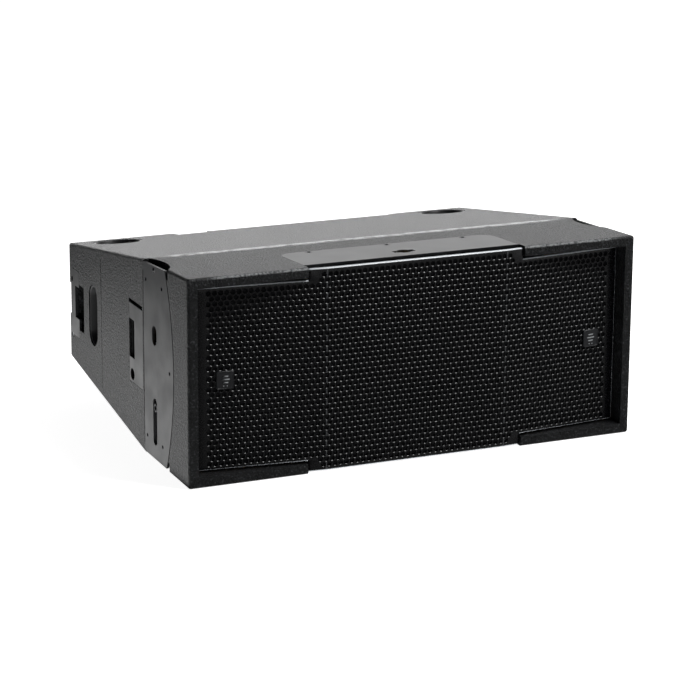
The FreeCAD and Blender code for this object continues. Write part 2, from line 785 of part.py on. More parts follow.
def rear_pocket():
    """Sheet-metal tray that closes the finger opening beside the rear plate."""
    wall = dim("sheet_gauge")
    x_rim = board - side_at(rear - dim("rear_recess")) + 0.2
    x_back = x_rim + 12
    y_low, y_high = dim("pocket_front") - wall, rear - dim("rear_recess") - 0.5
    outer = block((x_rim, y_low, dim("pocket_low") - wall),
                  (x_back, y_high, dim("pocket_high") + wall))
    inner = block((x_rim - 1, dim("pocket_front"), dim("pocket_low")),
                  (x_back - wall, y_high - wall, dim("pocket_high")))
    left = cut(outer, inner)
    node("rear_pockets", group(left, mirrored(left)))


def handle_cup():
    x_mouth = -side_at(dim("handle_front"))
    x_start = x_mouth + 3
    outer = handle_cutter(0, x_start, dim("handle_deep"))
    inner = handle_cutter(-2.5, x_start - 1, dim("handle_deep") - 2)
    left = cut(outer, inner)
    node("left_handle_cup", left)
    node("right_handle_cup", mirrored(left))


rear_plate()
arm_pin = rear_link()
node("hinge_pins", group(flap_pin, mirrored(flap_pin), arm_pin, mirrored(arm_pin)))
rear_pocket()
handle_cup()

# ---------------------------------------------------------------- cups, feet and screws
def stacking_cups():
    radius = dim("cup_radius")
    cups = []
    for side in (-dim("cup_place"), dim("cup_place")):
        dish = cut(rod(radius, (side, 0, 0.5 - board), board - 1, "Z"),
                   rod(radius - 4, (side, 0, 3.5 - board), board, "Z"))
        cups.append(on_rear_top(dish))
    node("stacking_cups", group(*cups))


def rubber_feet():
    under = about_x(dim("cup_y"), sink(dim("cup_y")), -rear_slope.value)
    feet = []
    for side in (-dim("cup_place"), dim("cup_place")):
        foot = rod(dim("foot_radius"), (side, 0, -dim("foot_proud")), dim("foot_proud"), "Z")
        feet.append(move(foot, under))
    node("rubber_feet", group(*feet))


def screws():
    plate_row = [on_front_top(screw(side, plate_back - dim("plate_screw_inset"), height + 0.1, 14,
                                    dim("plate_screw_radius")))
                 for side in plate_screw_places()]
    y_row = crease - dim("crease_screw_inset")
    crease_row = [screw(side, y_row, height - sink(y_row) + 0.2, 14, dim("crease_screw_radius"))
                  for side in (-260, -130, 0, 130, 260)]
    node("panel_screws", group(*plate_row, *crease_row))
    left = [side_screw(y, z) for y, z in RIG_SCREWS]
    node("rigging_screws", group(*left, *[mirrored(item) for item in left]))


stacking_cups()
rubber_feet()
screws()

# ---------------------------------------------------------------- drivers
tilt = FreeCAD.Rotation(FreeCAD.Vector(0, 0, 1), -wing_angle)
facing = tilt.multiply(FreeCAD.Rotation(FreeCAD.Vector(1, 0, 0), 90))


def baffle_line(across):
    """The baffle's front face: parallel to the grille's wing, some way behind it."""
    slope = dim("wing_setback") / wing_run
    return front + dim("baffle_setback") + slope * (lift(across) - dim("grille_fold"))


def baffle():
    inner, outer = dim("baffle_inner"), half_width - dim("rig_gauge") - dim("channel_width") - board
    low = board + 4
    outline = [(-outer, baffle_line(outer)), (-inner, baffle_line(inner)),
               (-inner, baffle_line(inner) + board), (-outer, baffle_line(outer) + board)]
    blank = prism("XY", outline, low, height - 2 * low)
    hole = woofer_place(rod(dim("cutout_radius"), (0, 0, -3 * far), 5 * far, "Z"))
    pair("baffle", cut(blank, hole))


def woofer_place(item):
    """Bring a part drawn about the driver's own axis onto the left baffle."""
    spot = FreeCAD.Vector(-dim("woofer_place").value, baffle_line(dim("woofer_place")).value,
                          middle.value)
    return move(item, FreeCAD.Placement(spot, facing))


def woofer():
    radius = dim("woofer_radius")
    coil = dim("coil_radius")
    cone = dim("cone_radius")
    basket = turned([(radius - 14, 0.2), (radius, 0.2), (radius, 6), (radius - 12, 6),
                     (radius - 17, -4), (62, -76), (40, -76), (40, -79), (64, -79),
                     (radius - 14, -6)])
    windows = []
    for turn in range(3):
        bar = block((-105, -22, -68), (105, 22, -24))
        spin = FreeCAD.Rotation(FreeCAD.Vector(0, 0, 1), 60 * turn)
        windows.append(move(bar, FreeCAD.Placement(FreeCAD.Vector(0, 0, 0), spin)))
    pair("woofer_basket", woofer_place(cut(basket, *windows)))
    magnet = turned([(0, -70), (coil - 2.5, -70), (coil - 2.5, -112), (coil + 2.5, -112),
                     (coil + 2.5, -79.2), (dim("magnet_radius"), -79.2),
                     (dim("magnet_radius"), -122), (0, -122)])
    pair("woofer_magnet", woofer_place(magnet))
    moving = turned([(0, -38), (14, -40), (coil, -50), (cone, -4), (cone + 2, -4), (cone + 2, -5.2),
                     (coil + 1, -51.6), (coil + 1, -86), (coil, -86), (coil, -51.2), (14, -41.2),
                     (0, -39.2)])
    pair("woofer_cone", woofer_place(moving))
    surround = turned([(cone + 2.4, -4), (cone + 5, 1), (cone + 8, 2.5), (cone + 10.2, 1),
                       (cone + 11.8, -3), (cone + 11.8, -4.2), (cone + 10.2, -0.5), (cone + 8, 1),
                       (cone + 5, -0.5), (cone + 2.4, -5.4)])
    pair("woofer_surround", woofer_place(surround))


def hf_waveguide():
    mouth_y = baffle_line(dim("baffle_inner")) - 1
    parts = []
    for mouth, throat, top_gap, trim in ((dim("mouth_half"), dim("throat_half"), 2.5, 0),
                                         (dim("mouth_half") - 4, lift(12), 6.5, 1)):
        item = doc.addObject("Part::Wedge", "Horn")
        low = board + top_gap + 1.5
        bind(item, "Xmin", -mouth)
        bind(item, "Xmax", mouth)
        bind(item, "X2min", -throat)
        bind(item, "X2max", throat)
        bind(item, "Ymin", mouth_y - trim)
        bind(item, "Ymax", mouth_y + dim("horn_depth") + trim)
        bind(item, "Zmin", low)
        bind(item, "Zmax", height - low)
        bind(item, "Z2min", low + 25)
        bind(item, "Z2max", height - low - 25)
        parts.append(item)
    node("hf_waveguide", cut(*parts))
    start = mouth_y + dim("horn_depth") + 0.2
    for name, level in (("upper", middle + dim("driver_spread")),
                        ("lower", middle - dim("driver_spread"))):
        front_plate = rod(30, (0, start, level), 8, "Y")
        can = rod(dim("driver_radius"), (0, start + 8, level), dim("driver_depth") - 8, "Y")
        node(name + "_compression_driver", fuse(front_plate, can))


def crossover():
    y_board = void_end - 14
    node("crossover_board", block((-260, y_board, 110), (-120, y_board + 2, 200)))
    parts = [rod(radius, (x, y_board - 30, z), 29.8, "Y")
             for radius, x, z in ((20, -235, 175), (20, -235, 132), (14, -190, 180))]
    parts += [rod(9, (-170 + 22 * step, y_board - 26, 128), 25.8, "Y") for step in range(3)]
    node("crossover_parts", group(*parts))


def connector_plate():
    y_face = rear - dim("rear_recess")
    plate = block((-dim("connector_half"), y_face, dim("connector_low")),
                  (dim("connector_half"), y_face + 3, dim("connector_high")))
    sockets, holes = [], []
    for side in (-dim("socket_place"), dim("socket_place")):
        holes.append(rod(12.4, (side, y_face - far, middle), 2 * far, "Y"))
        flange = block((side - 13, y_face + 3, middle - 15.5),
                       (side + 13, y_face + 6, middle + 15.5))
        barrel = rod(12, (side, y_face - 24, middle), 28, "Y")
        mouth = rod(9.5, (side, y_face - 20, middle), 30, "Y")
        sockets.append(cut(fuse(flange, barrel), mouth))
    node("connector_plate", cut(plate, *holes))
    node("sockets", group(*sockets))


baffle()
woofer()
hf_waveguide()
crossover()
connector_plate()

# ---------------------------------------------------------------- checks and files
doc.recompute()
failed = [item.Label for item in doc.Objects
          if "Invalid" in item.State or "Error" in item.State]
if failed:
    raise RuntimeError(f"failed objects: {failed}")
for name, item in NODES.items():
    if item.Shape.isNull() or not item.Shape.isValid() or not item.Shape.Solids:
        raise RuntimeError(f"{name} has no valid solid")

os.makedirs("parts", exist_ok=True)
for name, item in NODES.items():
    item.Shape.exportStep(f"parts/{name}.step")
    print(name, len(item.Shape.Solids), round(item.Shape.Volume))
print(len(NODES), "nodes")
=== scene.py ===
"""Dresses a packed line array speaker with detailed pieces and procedural finishes.

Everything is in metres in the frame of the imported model: +X to the right for someone who
looks at the grille, +Y backwards, +Z up, with the origin under the middle of the cabinet.
"""
import math

import bmesh
import bpy
from mathutils import Matrix, Vector
from mathutils.geometry import delaunay_2d_cdt


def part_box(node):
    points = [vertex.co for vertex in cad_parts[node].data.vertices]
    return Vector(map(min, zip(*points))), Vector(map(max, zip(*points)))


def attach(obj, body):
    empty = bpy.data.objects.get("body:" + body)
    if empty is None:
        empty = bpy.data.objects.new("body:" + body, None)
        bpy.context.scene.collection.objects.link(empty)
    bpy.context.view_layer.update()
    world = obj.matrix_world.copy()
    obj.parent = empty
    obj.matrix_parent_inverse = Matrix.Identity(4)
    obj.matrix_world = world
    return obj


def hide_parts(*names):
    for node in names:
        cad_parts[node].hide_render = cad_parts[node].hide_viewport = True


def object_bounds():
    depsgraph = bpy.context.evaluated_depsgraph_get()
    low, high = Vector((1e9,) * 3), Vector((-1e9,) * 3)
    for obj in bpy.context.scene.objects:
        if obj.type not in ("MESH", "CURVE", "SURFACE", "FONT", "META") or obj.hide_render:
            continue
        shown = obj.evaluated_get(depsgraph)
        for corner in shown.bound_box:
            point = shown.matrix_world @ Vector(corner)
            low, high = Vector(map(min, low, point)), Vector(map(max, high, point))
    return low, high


MM = 0.001
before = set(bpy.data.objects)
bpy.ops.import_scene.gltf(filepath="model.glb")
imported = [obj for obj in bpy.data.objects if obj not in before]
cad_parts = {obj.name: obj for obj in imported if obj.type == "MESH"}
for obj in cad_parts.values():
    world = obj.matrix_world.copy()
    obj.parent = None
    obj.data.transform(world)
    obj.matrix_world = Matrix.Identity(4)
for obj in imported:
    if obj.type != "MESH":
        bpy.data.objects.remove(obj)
cad_low, cad_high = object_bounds()
SIDES = {"left": -1, "right": 1}
CENTRE_HEIGHT = (cad_low.z + cad_high.z) / 2

# The top falls a little from its front edge to the crease, and more from there to the back.
CREASE_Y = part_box("top_front_panel")[1].y
CREASE_Z = cad_high.z - 7.5 * MM
REAR_TOP = CENTRE_HEIGHT + 91 * MM
FRONT_SLOPE = math.atan2(cad_high.z - CREASE_Z, CREASE_Y - cad_low.y)
REAR_SLOPE = math.atan2(CREASE_Z - REAR_TOP, cad_high.y - CREASE_Y)
FRONT_NORMAL = Vector((0, math.sin(FRONT_SLOPE), math.cos(FRONT_SLOPE)))
REAR_NORMAL = Vector((0, math.sin(REAR_SLOPE), math.cos(REAR_SLOPE)))

# The grille: a flat centre between two folds, and a wing on each side that runs back.
GRILLE_LOW, GRILLE_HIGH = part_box("grille")
GAUGE = 1.5 * MM
FACE_Y = GRILLE_LOW.y
FOLD = 144 * MM
TAB = 172 * MM                       # half-width of the part that is taller than the wings
HALF_HEIGHT = (GRILLE_HIGH.z - GRILLE_LOW.z) / 2
NOTCH = 16.5 * MM                    # how much lower the wings' edges are than the centre's
WING_END = GRILLE_HIGH.x
WING_SET_BACK = 20 * MM
WING_ANGLE = math.atan2(WING_SET_BACK, WING_END - FOLD)
SHEET_END = FOLD + (WING_END - FOLD) / math.cos(WING_ANGLE)
FOLD_RADIUS = 8 * MM
HALF_FOLD = FOLD_RADIUS * WING_ANGLE / 2
CORNER = 4 * MM
LIP_RADIUS = 2.8 * MM
LIP_DEPTH = 3.5 * MM
HOLE_RADIUS = 3.5 * MM
HOLE_ROLL = 0.6 * MM                 # paint rounds the mouth of each hole by this much
HOLE_SIDES = 12
PITCH = 9 * MM
ROW_RISE = PITCH * math.sqrt(3) / 2
SIDE_BORDER, TOP_BORDER = 17 * MM, 9.5 * MM
FOAM_THICK = 7 * MM

FOOT_RADIUS = 30 * MM


# ---------------------------------------------------------------- shader building

SMOOTH = {"interpolation_type": "SMOOTHSTEP"}
COLOURS, NUMBERS = {"data_type": "RGBA"}, {"data_type": "FLOAT"}


def linear(code):
    """An sRGB hex colour such as #1a1b1d as linear RGBA."""
    parts = [int(code[i:i + 2], 16) / 255 for i in (1, 3, 5)]
    return [c / 12.92 if c <= 0.04045 else ((c + 0.055) / 1.055) ** 2.4 for c in parts] + [1]


def feed(tree, socket, value):
    """Gives an input socket a value, or a link from another node's output."""
    if isinstance(value, bpy.types.NodeSocket):
        tree.links.new(value, socket)
    else:
        socket.default_value = value


def add(tree, kind, inputs=None, out=0, **settings):
    """Adds a shader node with its settings and links, and returns one of its outputs."""
    made = tree.nodes.new("ShaderNode" + kind)
    for name, value in settings.items():
        setattr(made, name, value)
    for name, value in (inputs or {}).items():
        feed(tree, made.inputs[name], value)
    return made.outputs[out]


def per_metre(millimetres):
    """The texture scale that gives features of this size."""
    return 1 / (millimetres * MM)


def new_material(name):
    """A new material, its node tree and its object coordinates in metres."""
    made = bpy.data.materials.new(name)
    made.use_nodes = True
    return made, made.node_tree, add(made.node_tree, "TexCoord", out="Object")


def dress(tree, relief, **sockets):
    """Feeds a Principled shader. The relief is a height, a strength and a depth in mm."""
    shader = tree.nodes["Principled BSDF"]
    height, strength, depth = relief
    sockets["Normal"] = add(tree, "Bump", {"Height": height, "Strength": strength,
                                           "Distance": depth * MM})
    for name, value in sockets.items():
        feed(tree, shader.inputs[name.replace("_", " ")], value)


# ---------------------------------------------------------------- camera and light

def set_camera():
    """A long lens from the left, a little above the cabinet."""
    camera = bpy.data.objects.new("camera", bpy.data.cameras.new("camera"))
    camera.data.lens = 142.06
    camera.data.clip_end = 30
    azimuth, elevation, roll = (math.radians(a) for a in (24.976, 14.982, 0.422))
    turn = (Matrix.Rotation(-azimuth, 4, "Z") @ Matrix.Rotation(math.pi / 2 - elevation, 4, "X")
            @ Matrix.Rotation(roll, 4, "Z"))
    camera.matrix_world = Matrix.Translation((-1.7185, -3.7263, 1.1988)) @ turn
    bpy.context.scene.collection.objects.link(camera)
    bpy.context.scene.camera = camera


def add_softbox(name, place, aim, size, radiance):
    """A rectangular lamp of even radiance that the camera doesn't see."""
    lamp = bpy.data.lights.new(name, "AREA")
    lamp.shape = "RECTANGLE"
    lamp.size, lamp.size_y = size
    lamp.energy = radiance * math.pi * size[0] * size[1]
    holder = bpy.data.objects.new(name, lamp)
    holder.location = place
    holder.rotation_euler = (Vector(aim) - Vector(place)).to_track_quat("-Z", "Y").to_euler()
    holder.visible_camera = False
    bpy.context.scene.collection.objects.link(holder)


# How bright the room is in a direction, as the product of ramps along its axes. Each ramp
# gives two places on the axis and the levels there. The room is brightest at the horizon
# behind the cabinet, dim in front, and dark below and to the left.
ROOM_RAMPS = (("Y", (-0.3, 0.7, 0.16, 1.0)), ("Z", (-0.24, -0.02, 0.25, 0.95)),
              ("Z", (0.0, 0.2, 4.7, 0.5)), ("X", (-0.18, 0.36, 0.04, 1.0)))


def set_studio():
    """A pale room, with a softbox over the cabinet and a glowing card that lies on its left
    and lifts the lower half of its side. The camera sees the room as plain white."""
    world = bpy.data.worlds.new("studio")
    world.use_nodes = True
    tree = world.node_tree
    direction = add(tree, "TexCoord", out="Generated")
    level = 1.0
    for axis, (low, high, low_level, high_level) in ROOM_RAMPS:
        along = add(tree, "SeparateXYZ", {0: direction}, out=axis)
        shade = add(tree, "MapRange", {0: along, 1: low, 2: high, 3: low_level, 4: high_level},
                    **SMOOTH)
        level = add(tree, "Math", {0: shade, 1: level}, operation="MULTIPLY")
    seen = add(tree, "LightPath", out="Is Camera Ray")
    background = tree.nodes["Background"]
    feed(tree, background.inputs["Strength"], add(tree, "Mix", {0: seen, 2: level, 3: 1.0},
                                                  **NUMBERS))
    feed(tree, background.inputs["Color"], (1, 1, 1, 1))
    bpy.context.scene.world = world
    bpy.context.scene.view_settings.view_transform = "Standard"
    middle = (0, 0, CENTRE_HEIGHT)
    add_softbox("overhead_softbox", (0.95, -0.85, 2.1), middle, (1.3, 0.9), 17)
    add_softbox("left_card", (-0.53, 0.3, 0.004), (-0.53, 0.3, 1), (0.34, 1.2), 1.6)


def make_floor():
    """An opal light table: pale, matt and lit from below, so that shadows almost vanish."""
    made, tree, place = new_material("opal_light_table")
    shade = add(tree, "TexNoise", {"Vector": place, "Scale": per_metre(900)})
    tone = add(tree, "Mix", {0: shade, 6: linear("#f7f7f7"), 7: linear("#fbfbfb")}, out=2,
               **COLOURS)
    dress(tree, (shade, 0.1, 0.05), Base_Color=tone, Roughness=0.9,
          Emission_Color=(1, 1, 1, 1), Emission_Strength=0.93)
    bm = bmesh.new()
    bmesh.ops.create_grid(bm, x_segments=8, y_segments=8, size=9)
    sheet = bpy.data.meshes.new("studio_floor")
    bm.to_mesh(sheet)
    sheet.materials.append(made)
    floor = bpy.data.objects.new("studio_floor", sheet)
    floor.location.z = cad_low.z - 0.5 * MM
    floor.visible_glossy = False     # reflections see the room's darker lower half instead
    bpy.context.scene.collection.objects.link(floor)


# ---------------------------------------------------------------- finishes

WEAR_AND_HIGHLIGHT_FADES, WEAR_AND_HIGHLIGHT_STOPS = 300 * MM, 335 * MM      # how far from the middle the wear and its painted highlight reach
RIM_HIGHLIGHT_FULL, RIM_HIGHLIGHT_GONE = 0.9 * MM, 2.2 * MM         # how far in from its edge the grille is painted pale as a painted highlight
PEBBLE, GRIT, PATCH, FLECK = 3.2, 1.4, 12, 3.5   # sizes in the textured paint, in mm


def wear_and_highlight_line(tree, place, y, z, reach, patches):
    """How strong the wear and its painted highlight are, from 0 to 1, near a line along X at that
    Y and Z. Both stop short of the cabinet's ends and are broken up by a noise."""
    across = add(tree, "VectorMath", {0: place, 1: (0, 1, 1)}, operation="MULTIPLY")
    away = add(tree, "VectorMath", {0: across, 1: (0, y, z)}, out="Value", operation="DISTANCE")
    near = add(tree, "MapRange", {0: away, 1: reach * 0.3, 2: reach, 3: 1, 4: 0}, **SMOOTH)
    broken = add(tree, "MapRange", {0: patches, 1: 0.36, 2: 0.58, 3: 0.2, 4: 1}, **SMOOTH)
    out = add(tree, "Math", {0: add(tree, "SeparateXYZ", {0: place}, out="X")},
              operation="ABSOLUTE")
    inboard = add(tree, "MapRange", {0: out, 1: WEAR_AND_HIGHLIGHT_FADES, 2: WEAR_AND_HIGHLIGHT_STOPS, 3: 1, 4: 0}, **SMOOTH)
    wear_and_highlight = add(tree, "Math", {0: near, 1: broken}, operation="MULTIPLY")
    return add(tree, "Math", {0: wear_and_highlight, 1: inboard}, operation="MULTIPLY")


def textured_paint():
    """Rolled polyurea on plywood: black, tough and pebbly, satin on the pebbles' tops, with fine
    pale grey flecks that are painted glints. Along the top crease and the front edge, where
    cabinets slide and knock, it is burnished glossier, and also painted pale there as a painted
    highlight. The pebbles are drawn at 3.2 mm, coarser than real, to show."""
    made, tree, place = new_material("textured_polyurea_paint")
    pebbles = add(tree, "TexVoronoi", {"Vector": place, "Scale": per_metre(PEBBLE),
                                       "Smoothness": 0.7}, out="Distance", feature="SMOOTH_F1")
    grit, patches, glint_noise = (
        add(tree, "TexNoise", {"Vector": place, "Scale": per_metre(size), "Detail": detail})
        for size, detail in ((GRIT, 3.0), (PATCH, 5.0), (FLECK, 2.0)))
    # Painted highlight over real wear: these masks make the top crease and the front edge pale and
    # glossier, broken into painted glints along the front edge.
    crease = wear_and_highlight_line(tree, place, CREASE_Y + 3 * MM, CREASE_Z, 16 * MM, patches)
    edge = wear_and_highlight_line(tree, place, cad_low.y + 0.6 * MM, cad_high.z - 0.6 * MM, 3.4 * MM, glint_noise)
    wear_and_highlight = add(tree, "Math", {0: crease, 1: edge}, operation="MAXIMUM")
    blotch = add(tree, "MapRange", {0: patches, 1: 0.35, 2: 0.65, 3: 0, 4: 1}, **SMOOTH)
    # Painted glints: the pale grey flecks stand in for the light that the pebbles catch.
    flecks = add(tree, "MapRange", {0: glint_noise, 1: 0.55, 2: 0.7, 3: 0, 4: 0.35}, **SMOOTH)
    # Base tone, random blotches, then painted glints in the flecks and a painted highlight along
    # the crease and front edge.
    tone = linear("#0e0f10")
    for share, colour in ((blotch, "#141516"), (flecks, "#4a4c4f"), (wear_and_highlight, "#77797a")):
        tone = add(tree, "Mix", {0: share, 6: tone, 7: linear(colour)}, out=2, **COLOURS)
    satin = add(tree, "MapRange", {0: grit, 1: 0.3, 2: 0.7, 3: 0.36, 4: 0.5}, **SMOOTH)
    gloss = add(tree, "Mix", {0: wear_and_highlight, 2: satin, 3: 0.3}, **NUMBERS)
    height = add(tree, "Math", {0: pebbles, 1: grit}, operation="ADD")
    dress(tree, (height, 1.0, 1.1), Base_Color=tone, Roughness=gloss, IOR=1.5,
          Specular_IOR_Level=0.24)
    return made


def birch_plywood():
    """Bare birch ply, sawn: pale yellow-brown and matt, with long grain along X."""
    made, tree, place = new_material("birch_plywood")
    stretched = add(tree, "Mapping", {"Vector": place, "Scale": (0.06, 1, 1)})
    grain = add(tree, "TexNoise", {"Vector": stretched, "Scale": per_metre(1.5), "Detail": 6.0,
                                   "Distortion": 0.4})
    share = add(tree, "MapRange", {0: grain, 1: 0.35, 2: 0.7, 3: 0, 4: 1}, **SMOOTH)
    tone = add(tree, "Mix", {0: share, 6: linear("#a77f52"), 7: linear("#cfae80")}, out=2,
               **COLOURS)
    dress(tree, (grain, 0.2, 0.1), Base_Color=tone, Roughness=0.6)
    return made


def powder_coat(name, dark, light, gloss, peel_depth, specular=0.5):
    """Powder coat on steel: fine orange peel, with a slow drift of tone and gloss."""
    made, tree, place = new_material(name)
    peel = add(tree, "TexNoise", {"Vector": place, "Scale": per_metre(1.0), "Detail": 2.0})
    drift = add(tree, "TexNoise", {"Vector": place, "Scale": per_metre(45), "Detail": 5.0})
    share, rough = (add(tree, "MapRange", {0: drift, 1: 0.3, 2: 0.7, 3: low, 4: high}, **SMOOTH)
                    for low, high in ((0, 1), gloss))
    tone = add(tree, "Mix", {0: share, 6: linear(dark), 7: linear(light)}, out=2, **COLOURS)
    dress(tree, (peel, 0.25, peel_depth), Base_Color=tone, Roughness=rough, IOR=1.5,
          Specular_IOR_Level=specular)
    return made


def gloss_coat():
    """Gloss black powder coat on the perforated sheet: the rounded mouths of the holes catch the
    light. It is painted pale along the sheet's edges and a little along its two folds, as a
    painted highlight."""
    made, tree, place = new_material("gloss_black_powder_coat")
    peel = add(tree, "TexNoise", {"Vector": place, "Scale": per_metre(1.2), "Detail": 3.0})
    middle = add(tree, "VectorMath", {0: place, 1: (0, 0, CENTRE_HEIGHT)}, operation="SUBTRACT")
    away = add(tree, "VectorMath", {0: middle}, operation="ABSOLUTE")
    out, up = (add(tree, "SeparateXYZ", {0: away}, out=axis) for axis in "XZ")
    wing = add(tree, "Math", {0: out, 1: TAB}, operation="GREATER_THAN")
    edge = add(tree, "Mix", {0: wing, 2: HALF_HEIGHT, 3: HALF_HEIGHT - NOTCH}, **NUMBERS)
    to_edge = add(tree, "Math", {0: edge, 1: up}, operation="SUBTRACT")
    to_end = add(tree, "Math", {0: WING_END, 1: out}, operation="SUBTRACT")
    near = add(tree, "Math", {0: to_edge, 1: to_end}, operation="MINIMUM")
    # Painted highlight: the sheet is painted pale along its edges and, faintly, along its folds,
    # where the lips and folds would catch the light.
    rim = add(tree, "MapRange", {0: near, 1: RIM_HIGHLIGHT_FULL, 2: RIM_HIGHLIGHT_GONE, 3: 1, 4: 0}, **SMOOTH)
    fold_highlight = add(tree, "Math", {0: out, 1: FOLD, 2: 1.2 * MM}, operation="COMPARE")
    fold_highlight = add(tree, "Math", {0: fold_highlight, 1: 0.05}, operation="MULTIPLY")
    edge_and_fold_highlight = add(tree, "Math", {0: rim, 1: fold_highlight}, operation="MAXIMUM")
    tone = add(tree, "Mix", {0: edge_and_fold_highlight, 6: linear("#050507"), 7: linear("#b4b8bc")}, out=2,
               **COLOURS)
    gloss = add(tree, "MapRange", {0: peel, 1: 0.3, 2: 0.7, 3: 0.22, 4: 0.3}, **SMOOTH)
    dress(tree, (peel, 0.2, 0.04), Base_Color=tone, Roughness=gloss, IOR=1.5)
    return made


def plated_steel(name, shade, gloss):
    """Plated or oxidised steel: metallic, with smudged gloss and fine tumbling marks."""
    made, tree, place = new_material(name)
    marks = add(tree, "TexNoise", {"Vector": place, "Scale": per_metre(3), "Detail": 8.0,
                                   "Roughness": 0.65})
    rough = add(tree, "MapRange", {0: marks, 1: 0.3, 2: 0.7, 3: gloss[0], 4: gloss[1]}, **SMOOTH)
    dress(tree, (marks, 0.1, 0.05), Base_Color=linear(shade), Roughness=rough, Metallic=1.0)
    return made


def moulded(name, dark, light, gloss, grain, depth):
    """Moulded, pressed or sintered stuff: an even colour with a fine grain of that size."""
    made, tree, place = new_material(name)
    texture = add(tree, "TexNoise", {"Vector": place, "Scale": per_metre(grain), "Detail": 4.0})
    share = add(tree, "MapRange", {0: texture, 1: 0.3, 2: 0.7, 3: 0, 4: 1}, **SMOOTH)
    tone = add(tree, "Mix", {0: share, 6: linear(dark), 7: linear(light)}, out=2, **COLOURS)
    dress(tree, (texture, 0.3, depth), Base_Color=tone, Roughness=gloss)
    return made


def open_cell_foam():
    """Reticulated acoustic foam: charcoal, all small pores, with no shine. Real pores are
    under 1 mm; they are drawn at 1.6 mm so that they show."""
    made, tree, place = new_material("open_cell_foam")
    pores = add(tree, "TexVoronoi", {"Vector": place, "Scale": per_metre(1.6)}, out="Distance",
                feature="DISTANCE_TO_EDGE")
    # Painted shade: the pores are painted darker than their walls, as the shade inside them.
    share = add(tree, "MapRange", {0: pores, 1: 0, 2: 0.25, 3: 0, 4: 1}, **SMOOTH)
    tone = add(tree, "Mix", {0: share, 6: linear("#141416"), 7: linear("#050506")}, out=2,
               **COLOURS)
    walls = add(tree, "Math", {0: 1.0, 1: pores}, operation="SUBTRACT")
    dress(tree, (walls, 0.8, 0.6), Base_Color=tone, Roughness=1.0, Specular_IOR_Level=0.15)
    return made


set_camera()
set_studio()
make_floor()

FINISHES = {
    "painted_ply": textured_paint(),
    "bare_ply": birch_plywood(),
    "grille_steel": gloss_coat(),
    # Fine-texture powder coat on the rigging: flat satin black beside the pebbly paint.
    "black_steel": powder_coat("satin_powder_coat", "#141517", "#1a1b1d", (0.4, 0.5), 0.08),
    # Zinc-plated bar: pale grey and dull bright.
    "bright_steel": plated_steel("zinc_plated_steel", "#a9adb0", (0.25, 0.42)),
    # Polished chrome plate: near white, with sharp reflections.
    "chrome": plated_steel("chromed_steel", "#d6dadc", (0.06, 0.14)),
    # Black-oxide screws: dark, oily and slightly worn.
    "black_screw": plated_steel("black_oxide_steel", "#3a3b3d", (0.35, 0.5)),
    "foam": open_cell_foam(),
    # Anodised aluminium plate: an even, slightly blue black.
    "badge": moulded("anodised_badge_plate", "#101113", "#15161a", 0.35, 0.6, 0.02),
    # Moulded ABS: black with a soft sheen.
    "black_plastic": moulded("moulded_black_abs", "#121314", "#18191b", 0.42, 0.8, 0.05),
    # Moulded nylon: a clear signal yellow.
    "yellow_plastic": moulded("moulded_yellow_nylon", "#d9b400", "#e8c81e", 0.4, 0.8, 0.05),
    # Moulded rubber: matt charcoal.
    "rubber": moulded("moulded_rubber", "#141415", "#1c1c1d", 0.75, 1.0, 0.1),
    # Sintered ferrite: dull, stony dark grey.
    "ferrite": moulded("sintered_ferrite", "#2a2b2d", "#36373a", 0.6, 0.7, 0.05),
    # Pressed paper pulp: soft black with short fibres.
    "cone_paper": moulded("pressed_paper_pulp", "#131314", "#222123", 0.85, 0.5, 0.12),
    # Solder mask on glass fibre: dark green and half glossy, with a weave just showing.
    "circuit_board": moulded("solder_mask_on_glass_fibre", "#0d3b22", "#12492b", 0.35, 1.5,
                             0.03),
    # Lacquered copper winding: warm brown with a varnish shine.
    "component": moulded("lacquered_winding", "#6a3a1c", "#8a4f26", 0.4, 0.9, 0.08),
}

# The top plate's coat is smoother and paler than the rest of the rigging's.
top_plate_finish = powder_coat("smooth_powder_coat", "#17181a", "#1b1c1e", (0.34, 0.36), 0.03,
                               specular=0.38)


# ---------------------------------------------------------------- mesh building

def make_piece(name, bm, finish, body, *nodes, sharp=35, extra=()):
    """Turns a bmesh into a smooth-shaded piece in a finish, on a body, in place of CAD nodes."""
    bmesh.ops.recalc_face_normals(bm, faces=bm.faces)
    for face in bm.faces:
        face.smooth = True
    for edge in bm.edges:
        edge.smooth = len(edge.link_faces) == 2 and edge.calc_face_angle(0) < math.radians(sharp)
    sheet = bpy.data.meshes.new(name)
    bm.to_mesh(sheet)
    bm.free()
    for slot in (finish, *extra):
        sheet.materials.append(FINISHES[slot])
    made = bpy.data.objects.new(name, sheet)
    bpy.context.scene.collection.objects.link(made)
    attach(made, body)
    if nodes:
        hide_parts(*nodes)
    return made


def loose_parts(node):
    """The low and high corner of each separate solid of a CAD node, from left to right."""
    bm = bmesh.new()
    bm.from_mesh(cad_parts[node].data)
    bmesh.ops.remove_doubles(bm, verts=bm.verts, dist=1e-6)
    left, found = set(bm.verts), []
    while left:
        group, edge = set(), {left.pop()}
        while edge:
            group |= edge
            edge = {e.other_vert(v) for v in edge for e in v.link_edges} - group
        left -= group
        corners = [Vector(pick(v.co[i] for v in group) for i in range(3)) for pick in (min, max)]
        found.append(corners)
    bm.free()
    return sorted(found, key=lambda pair: (round(pair[0].x, 4), pair[0].y))


def facing(place, axis):
    """A transform that puts its origin at a place with its Z along an axis."""
    return Matrix.Translation(place) @ Vector(axis).to_track_quat("Z", "Y").to_matrix().to_4x4()


